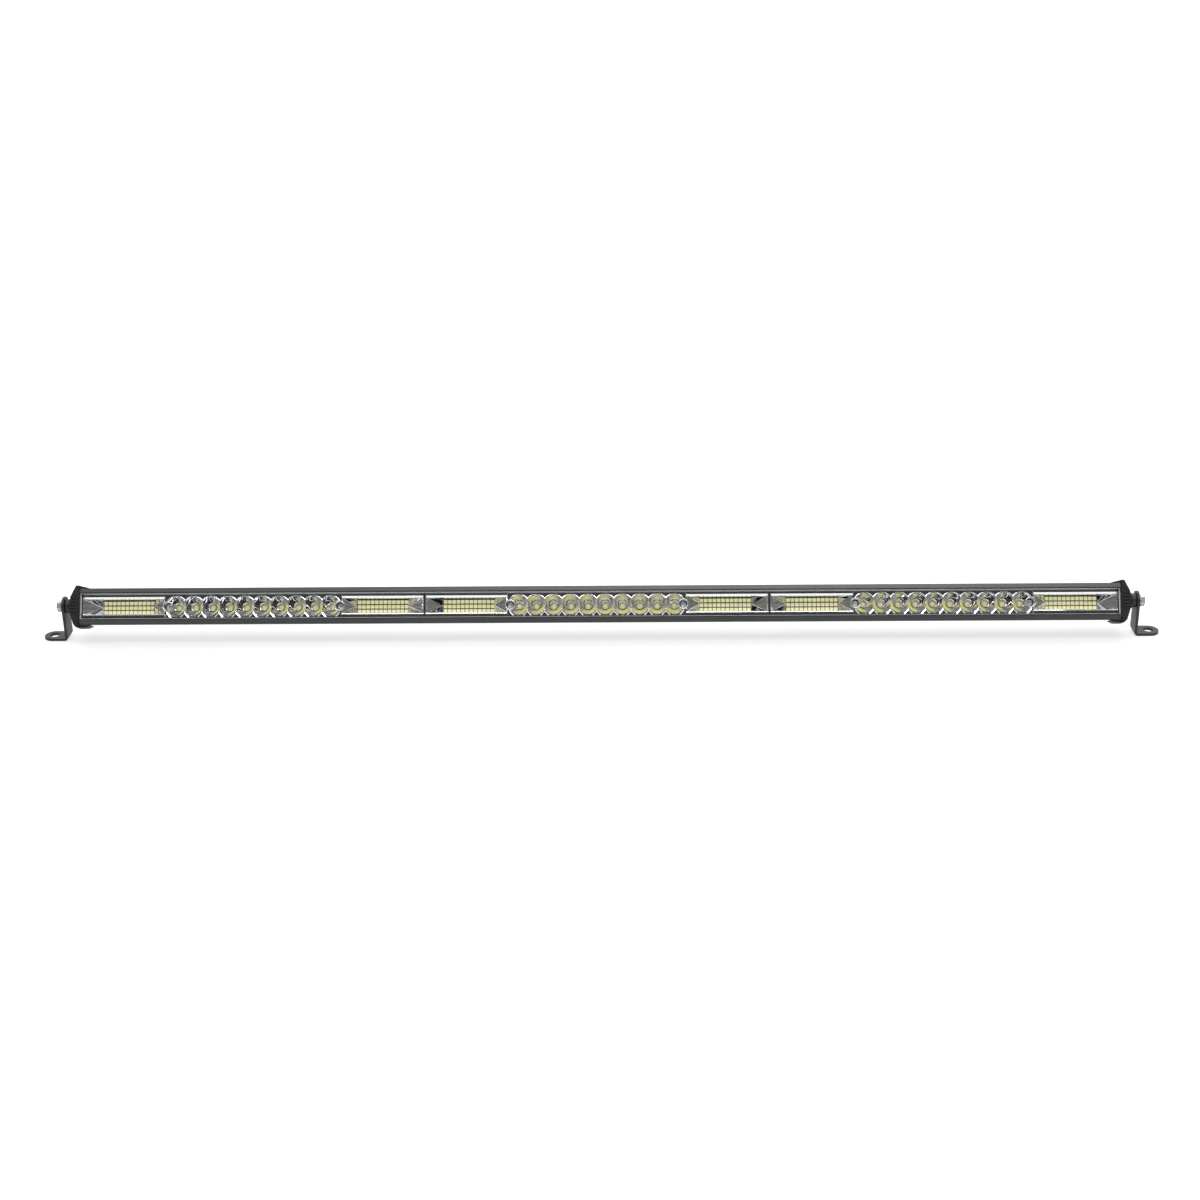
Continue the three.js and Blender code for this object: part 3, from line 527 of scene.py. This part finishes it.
def add_trough(sheet, centre, outward, extension):
    """The flood reflector: a flared rim, steep walls to the LED slot, and ends folded into triangles."""
    toward = (centre, VIEW_DEPTH, 0)
    walls = Sheet()
    rim_x, throat_x, slot_x = {}, {}, {}
    for end in (-1, 1):
        slope = OUTER_SLOPE + extension if end == outward else INNER_SLOPE
        rise = OUTER_FOLD_RISE if end == outward else INNER_FOLD_RISE
        slot_x[end] = centre + end * SLOT_HALF_LENGTH
        rim_x[end] = slot_x[end] + end * slope
        throat_x[end] = rim_x[end] - end * slope * FLARE_DEPTH / (REFLECTOR_REAR - REFLECTOR_FRONT)
        add_folded_end(walls, rim_x[end], throat_x[end], slot_x[end], rise, toward)
    for up in (-1, 1):
        throat = REFLECTOR_FRONT + FLARE_DEPTH
        rim = [(rim_x[end], REFLECTOR_FRONT, up * TROUGH_RIM[up]) for end in (-1, 1)]
        neck = [(throat_x[end], throat, up * SLOT_HALF_HEIGHT) for end in (1, -1)]
        base = [(slot_x[end], REFLECTOR_REAR, up * SLOT_HALF_HEIGHT) for end in (-1, 1)]
        edge = [(rim_x[end], REFLECTOR_FRONT, up * FLANGE_HALF) for end in (1, -1)]
        walls.face(rim + neck, toward)
        walls.face(base + neck, toward)
        walls.face(rim + edge, toward)
    module_edge = centre + outward * (MODULE_HALF + extension - FLOOD_CENTRE)
    cup_edge = centre - outward * (FLOOD_CENTRE - CUP_OFFSETS[-1] - CUP_RIM - RING_WIDTH)
    levels = [-FLANGE_HALF, -TROUGH_RIM[-1], TROUGH_RIM[1], FLANGE_HALF]
    for inside, outside, drop in ((rim_x[outward], module_edge, 0), (rim_x[-outward], cup_edge, RING_DROP)):
        near = (inside, REFLECTOR_FRONT)
        far = (outside, REFLECTOR_FRONT + drop)
        for low, high in zip(levels, levels[1:]):
            walls.face([(*near, low), (*far, low), (*far, high), (*near, high)], toward)
    round_creases(walls.mesh)
    folded = bpy.data.meshes.new("trough")
    walls.mesh.to_mesh(folded)
    walls.mesh.free()
    sheet.mesh.from_mesh(folded)
    bpy.data.meshes.remove(folded)


def clear_column(mesh, x, radius, sides):
    """Cut a hole the shape of a round column through every surface it meets at the middle height."""
    inside = []
    for face in mesh.faces:
        along = [vert.co.x for vert in face.verts]
        heights = [vert.co.z for vert in face.verts]
        beside = min(along) > x + radius or max(along) < x - radius
        if not beside and min(heights) < radius and max(heights) > -radius:
            inside.append(face)
    for i in range(sides):
        angle = 2 * math.pi * (i + 0.5) / sides
        outward = Vector((math.cos(angle), 0, math.sin(angle)))
        flat = Vector((x, 0, 0)) + outward * radius * math.cos(math.pi / sides)
        edges = {edge for face in inside for edge in face.edges}
        verts = {vert for face in inside for vert in face.verts}
        parts = bmesh.ops.bisect_plane(
            mesh, geom=[*verts, *edges, *inside], dist=CUT_MARGIN, plane_co=flat, plane_no=outward
        )["geom"]
        faces = [part for part in parts if isinstance(part, bmesh.types.BMFace)]
        inside = [face for face in faces if (face.calc_center_median() - flat).dot(outward) < 0]
    bmesh.ops.delete(mesh, geom=inside, context="FACES")


def add_boss(sheet, x):
    """A screw boss with a half-round crown between its wall and its bore, and the seat for the screw."""
    clear_column(sheet.mesh, x, BOSS_RADIUS, BOSS_SIDES)
    round_radius = (BOSS_RADIUS - BOSS_BORE) / 2
    middle = (BOSS_RADIUS + BOSS_BORE) / 2
    crown = []
    for i in range(CROWN_STEPS + 1):
        angle = math.pi * i / CROWN_STEPS
        depth = BOSS_TOP + round_radius * (1 - math.sin(angle))
        crown.append((middle + round_radius * math.cos(angle), depth))
    revolved(sheet, x, [(BOSS_RADIUS, REFLECTOR_REAR), *crown, (BOSS_BORE, BOSS_SEAT)], BOSS_SIDES)
    revolved(sheet, x, [(BOSS_BORE, BOSS_SEAT), (SCREW_HOLE, BOSS_SEAT)], BOSS_SIDES, smooth=False)


def cross_outline():
    """Points in order round the recess, a cross whose arms lie along the two axes."""
    arm_end = ((RECESS_REACH, -RECESS_HALF_WIDTH), (RECESS_REACH, RECESS_HALF_WIDTH))
    inner_corner = (RECESS_HALF_WIDTH, RECESS_HALF_WIDTH)
    corners = []
    for quarter in range(4):
        turn = Matrix.Rotation(quarter * math.pi / 2, 2)
        corners += [turn @ Vector(point) for point in (*arm_end, inner_corner)]
    points = []
    for near, far in zip(corners, corners[1:] + corners[:1]):
        points += [near.lerp(far, i / RECESS_EDGE_STEPS) for i in range(RECESS_EDGE_STEPS)]
    return points


def make_reflector_screw(node):
    """A pan-head screw with a cross recess, on the axis of its CAD node."""
    low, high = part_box(node)
    x = (low.x + high.x) / 2 / MM
    toward = (x, VIEW_DEPTH, 0)
    top = BOSS_SEAT - SCREW_HEAD_HEIGHT
    under = BOSS_SEAT - SCREW_SEAT_GAP
    flat, edge = (SCREW_HEAD_FLAT, top), (SCREW_HEAD_RADIUS, top + SCREW_HEAD_ROUND)
    head = [flat, *bezier(flat, (SCREW_HEAD_RADIUS, top), edge, SCREW_HEAD_STEPS)]
    head += [(SCREW_HEAD_RADIUS, under), (SCREW_RADIUS, under), (SCREW_RADIUS, SCREW_END)]
    recess, outside = [], []
    for point in cross_outline():
        rim = (x + point.x, top, point.y)
        bottom = (x + point.x * RECESS_TAPER, top + RECESS_DEPTH, point.y * RECESS_TAPER)
        recess.append([bottom, rim])
        way = point.normalized()
        outside.append([rim] + [(x + way.x * r, depth, way.y * r) for r, depth in head])
    sheet = Sheet()
    sheet.grid(recess, toward, smooth=False, closed=True)
    sheet.face([row[0] for row in recess], toward)
    sheet.grid(outside, toward, closed=True)
    shown = sheet.finish(f"{node}_finished", [bright_steel])
    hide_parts(node)


def make_reflector(place, centre):
    """One module: a row of cups with beads below them, and a trough and a boss at each end."""
    sheet = Sheet()
    for near, far in zip(CUP_OFFSETS, CUP_OFFSETS[1:]):
        add_chevron(sheet, centre + (near + far) / 2)
    for side in (-1, 1):
        end_ridge = CUP_OFFSETS[-1] + CUP_PITCH / 2 + CHEVRON_END_SHIFT
        add_chevron(sheet, centre + side * end_ridge, (-side,))
    ends = {CUP_OFFSETS[0]: -1, CUP_OFFSETS[-1]: 1}
    for offset in CUP_OFFSETS:
        add_cup(sheet, centre + offset, ends.get(offset, 0))
    for side in (-1, 1):
        extension = END_EXTENSION if centre * side > 0 else 0
        add_trough(sheet, centre + side * FLOOD_CENTRE, side, extension)
        add_boss(sheet, centre + side * BOSS_OFFSET)
    shown = sheet.finish(f"mirror_{place}", [chrome])
    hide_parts(f"reflector_{place}")


# ---------- LED boards ----------

BOARD_MATERIALS = [solder_mask, package_white, phosphor_and_painted_glow, spot_phosphor_and_painted_glow]
MASK, PACKAGE, WINDOW, DOME = range(4)


def rectangle(x, height, half_length, half_height, depth):
    corners = ((-1, -1), (1, -1), (1, 1), (-1, 1))
    return [(x + i * half_length, depth, height + j * half_height) for i, j in corners]


def add_edges(sheet, front, rear, material):
    """The four side faces between two rectangles, turned outwards."""
    middle = sum((Vector(corner) for corner in rear), Vector()) / 4
    for i in range(4):
        j = (i + 1) % 4
        beyond = Vector(rear[i]) + Vector(rear[j]) - middle
        sheet.face([rear[i], rear[j], front[j], front[i]], beyond, material=material)


def add_plate(sheet, x):
    """The circuit board under the LEDs."""
    size = (BOARD_HALF_LENGTH, BOARD_HALF_HEIGHT)
    front = rectangle(x, 0, *size, BOARD_FRONT)
    rear = rectangle(x, 0, *size, BOARD_FRONT + BOARD_THICKNESS)
    sheet.face(front, (x, VIEW_DEPTH, 0), material=MASK)
    add_edges(sheet, front, rear, MASK)


def add_chip(sheet, x, height):
    """A flat LED package: a white frame round a sunken yellow window."""
    front = BOARD_FRONT - CHIP_THICKNESS
    toward = (x, VIEW_DEPTH, height)
    size = (CHIP_WIDTH / 2, CHIP_HEIGHT / 2)
    opening = (CHIP_WIDTH / 2 - CHIP_BORDER, CHIP_HEIGHT / 2 - CHIP_BORDER)
    outer = rectangle(x, height, *size, front)
    inner = rectangle(x, height, *opening, front)
    add_edges(sheet, outer, rectangle(x, height, *size, BOARD_FRONT), PACKAGE)
    for i in range(4):
        j = (i + 1) % 4
        sheet.face([outer[i], outer[j], inner[j], inner[i]], toward, material=PACKAGE)
    sheet.face(rectangle(x, height, *opening, front + WINDOW_SINK), toward, material=WINDOW)


def add_emitter(sheet, x):
    """A domed LED on its round white base, in the hole at the back of a spot cup."""
    front = BOARD_FRONT - EMITTER_BASE
    foot = (EMITTER_BASE_RADIUS, BOARD_FRONT - EMITTER_BASE_GAP)
    base = [foot, (EMITTER_BASE_RADIUS, front), (EMITTER_RADIUS, front)]
    revolved(sheet, x, base, EMITTER_SIDES, smooth=False, material=PACKAGE)
    dome = []
    for i in range(DOME_STEPS + 1):
        angle = math.pi / 2 * i / DOME_STEPS
        radius = EMITTER_RADIUS * math.cos(angle) + EMITTER_POLE
        dome.append((radius, front - EMITTER_RISE * math.sin(angle)))
    revolved(sheet, x, dome, EMITTER_SIDES, material=DOME)


def make_board(place, centre):
    """One board: its plate, a grid of packages under each trough and a domed LED under each cup."""
    sheet = Sheet()
    add_plate(sheet, centre)
    for side in (-1, 1):
        for column in range(CHIP_COLUMNS):
            along = (column - (CHIP_COLUMNS - 1) / 2) * CHIP_COLUMN_PITCH
            for row in range(CHIP_ROWS):
                height = (row - (CHIP_ROWS - 1) / 2) * CHIP_ROW_PITCH
                add_chip(sheet, centre + side * FLOOD_CENTRE + along, height)
    for offset in CUP_OFFSETS:
        add_emitter(sheet, centre + offset)
    shown = sheet.finish(f"board_{place}", BOARD_MATERIALS)
    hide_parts(f"led_board_{place}")


for place, centre in MODULES.items():
    make_reflector(place, centre)
    make_board(place, centre)

# ---------- finishes on the CAD pieces ----------

dressed("housing", housing_coat, edge=0.3)
for place in SIDES:
    dressed(f"end_cap_{place}", cap_coat, edge=0.35)
    dressed(f"bracket_{place}", bracket_coat, edge=0.35, segments=3)
    dressed(f"pivot_bolt_{place}", zinc, edge=0.5)
    dressed(f"spring_washer_{place}", zinc, edge=0.15)
    dressed(f"pivot_spacer_{place}", nylon, edge=0.3)
    for i in range(1, 5):
        dressed(f"cap_screw_{place}_{i}", black_screw, edge=0.2)
for place in MODULES:
    for i in (1, 2):
        make_reflector_screw(f"reflector_screw_{place}_{i}")
for node in ("gland_body", "gland_nut", "vent_plug"):
    dressed(node, nylon, edge=0.3)
# the lens's rounded edges carry the painted edge highlight
dressed("cover_lens", clear_lens, edge=0.5, segments=1, edge_material=painted_edge_highlight)

# The other pieces keep their CAD meshes and only get a material.
unchanged = {"lens_seal": rubber, "gland_insert": rubber}
for place in SIDES:
    unchanged[f"end_gasket_{place}"] = rubber
    unchanged[f"pivot_nut_{place}"] = zinc
    unchanged[f"link_wire_{place}_positive"] = wire_red
    unchanged[f"link_wire_{place}_negative"] = wire_black
for node, material in unchanged.items():
    data = frame["nodes"][node].data
    data.materials.clear()
    data.materials.append(material)

# ---------- studio ----------

FLOOR_SIZE = 120
FLOOR_HEIGHT = -0.0004
FLOOR_TONE = 0.42
FLOOR_GLOW = 0.64  # the table is lit from below as well, which keeps the shadow light

SKY_BRIGHTNESS = 1.6
DIM_BRIGHTNESS = SKY_BRIGHTNESS * 0.1
LOW_LIGHT_FULL = math.radians(3)
LOW_LIGHT_END = math.radians(9)
SKY_START = math.radians(24)
SKY_FULL = math.radians(50)
BEHIND_FULL = 0.4
SIDE_START = 0.2
SIDE_END = 0.6
SIDE_SHARE = 0.55
GAP_ELEVATION = math.radians(36.5)
GAP_CORE = math.radians(18)
GAP_EDGE = math.radians(29)
GAP_SHARE = 0.06


def add_floor():
    material, _, _, shader = new_material("studio_floor")
    shader.inputs["Base Color"].default_value = (FLOOR_TONE, FLOOR_TONE, FLOOR_TONE, 1)
    shader.inputs["Roughness"].default_value = 0.7
    shader.inputs["Emission Color"].default_value = (1, 1, 1, 1)
    shader.inputs["Emission Strength"].default_value = FLOOR_GLOW
    bpy.ops.mesh.primitive_plane_add(size=FLOOR_SIZE, location=(0, 0, FLOOR_HEIGHT))
    floor = bpy.context.object
    floor.name = "floor"
    floor.data.materials.append(material)


def add_softbox(name, place, target, width, height, power):
    data = bpy.data.lights.new(name, "AREA")
    data.shape = "RECTANGLE"
    data.size = width
    data.size_y = height
    data.energy = power
    lamp = bpy.data.objects.new(name, data)
    lamp.location = place
    aim = Vector(target) - Vector(place)
    lamp.rotation_euler = aim.to_track_quat("-Z", "Y").to_euler()
    bpy.context.scene.collection.objects.link(lamp)


def eased(tree, value, start, stop, low, high):
    """A smooth step from low to high as the value goes from start to stop."""
    step = tree.nodes.new("ShaderNodeMapRange")
    step.interpolation_type = "SMOOTHSTEP"
    step.inputs["From Min"].default_value = start
    step.inputs["From Max"].default_value = stop
    step.inputs["To Min"].default_value = low
    step.inputs["To Max"].default_value = high
    tree.links.new(value, step.inputs["Value"])
    return step.outputs["Result"]


def combined(tree, operation, *values):
    node = tree.nodes.new("ShaderNodeMath")
    node.operation = operation
    for i, value in enumerate(values):
        tree.links.new(value, node.inputs[i])
    return node.outputs["Value"]


def make_room():
    """The room round the lamp, as a brightness for every direction.

    It is white above, behind the lamp and in a low band all round, and dim in front. The light falls
    off towards both sides. A dark gap high in front is what the flat mirrors look into.
    """
    world = bpy.data.worlds.new("studio")
    world.use_nodes = True
    tree = world.node_tree
    direction = tree.nodes.new("ShaderNodeTexCoord").outputs["Generated"]
    axes = tree.nodes.new("ShaderNodeSeparateXYZ")
    tree.links.new(direction, axes.inputs["Vector"])
    towards_gap = tree.nodes.new("ShaderNodeVectorMath")
    towards_gap.operation = "DOT_PRODUCT"
    towards_gap.inputs[1].default_value = (0, -math.cos(GAP_ELEVATION), math.sin(GAP_ELEVATION))
    tree.links.new(direction, towards_gap.inputs[0])
    across, back, up = (axes.outputs[axis] for axis in "XYZ")
    aside = combined(tree, "ABSOLUTE", across)
    nearness = towards_gap.outputs["Value"]

    sky = eased(tree, up, math.sin(SKY_START), math.sin(SKY_FULL), DIM_BRIGHTNESS, SKY_BRIGHTNESS)
    behind = eased(tree, back, 0, BEHIND_FULL, DIM_BRIGHTNESS, SKY_BRIGHTNESS)
    sides = eased(tree, aside, SIDE_START, SIDE_END, 1, SIDE_SHARE)
    low_band = eased(
        tree, up, math.sin(LOW_LIGHT_FULL), math.sin(LOW_LIGHT_END), SKY_BRIGHTNESS, DIM_BRIGHTNESS
    )
    gap = eased(tree, nearness, math.cos(GAP_EDGE), math.cos(GAP_CORE), 1, GAP_SHARE)

    room = combined(tree, "MAXIMUM", sky, behind)
    room = combined(tree, "MULTIPLY", room, sides)
    room = combined(tree, "MAXIMUM", room, low_band)
    room = combined(tree, "MULTIPLY", room, gap)
    tree.links.new(room, tree.nodes["Background"].inputs["Color"])
    bpy.context.scene.world = world


add_floor()
add_softbox("overhead", place=(0.3, 0.8, 2.1), target=(0.1, 0, 0), width=1.3, height=1.2, power=16)
add_softbox("front_top", place=(0, -1.0, 1.95), target=(0, 0, 0), width=1.8, height=0.6, power=18)
make_room()
bpy.context.scene.view_settings.view_transform = "Standard"

# ---------- camera ----------

CAMERA_AZIMUTH = math.radians(1.66)
CAMERA_ELEVATION = math.radians(23.5)
CAMERA_DISTANCE = 1.797
CAMERA_TARGET = Vector((0.00296, 0.0007, 0.0357))
CAMERA_ROLL = math.radians(0.97)
CAMERA_REACH = 100
SENSOR = 36.0
FOCAL_SHARE = 1.591  # focal length over the picture's width


def add_camera():
    level = math.cos(CAMERA_ELEVATION)
    away = Vector(
        (math.sin(CAMERA_AZIMUTH) * level, -math.cos(CAMERA_AZIMUTH) * level, math.sin(CAMERA_ELEVATION))
    )
    data = bpy.data.cameras.new("camera")
    data.sensor_width = SENSOR
    data.lens = SENSOR * FOCAL_SHARE
    data.clip_end = CAMERA_REACH
    camera = bpy.data.objects.new("camera", data)
    camera.location = CAMERA_TARGET + away * CAMERA_DISTANCE
    turn = (-away).to_track_quat("-Z", "Y") @ Quaternion((0, 0, 1), -CAMERA_ROLL)
    camera.rotation_euler = turn.to_euler()
    bpy.context.scene.collection.objects.link(camera)
    bpy.context.scene.camera = camera


add_camera()
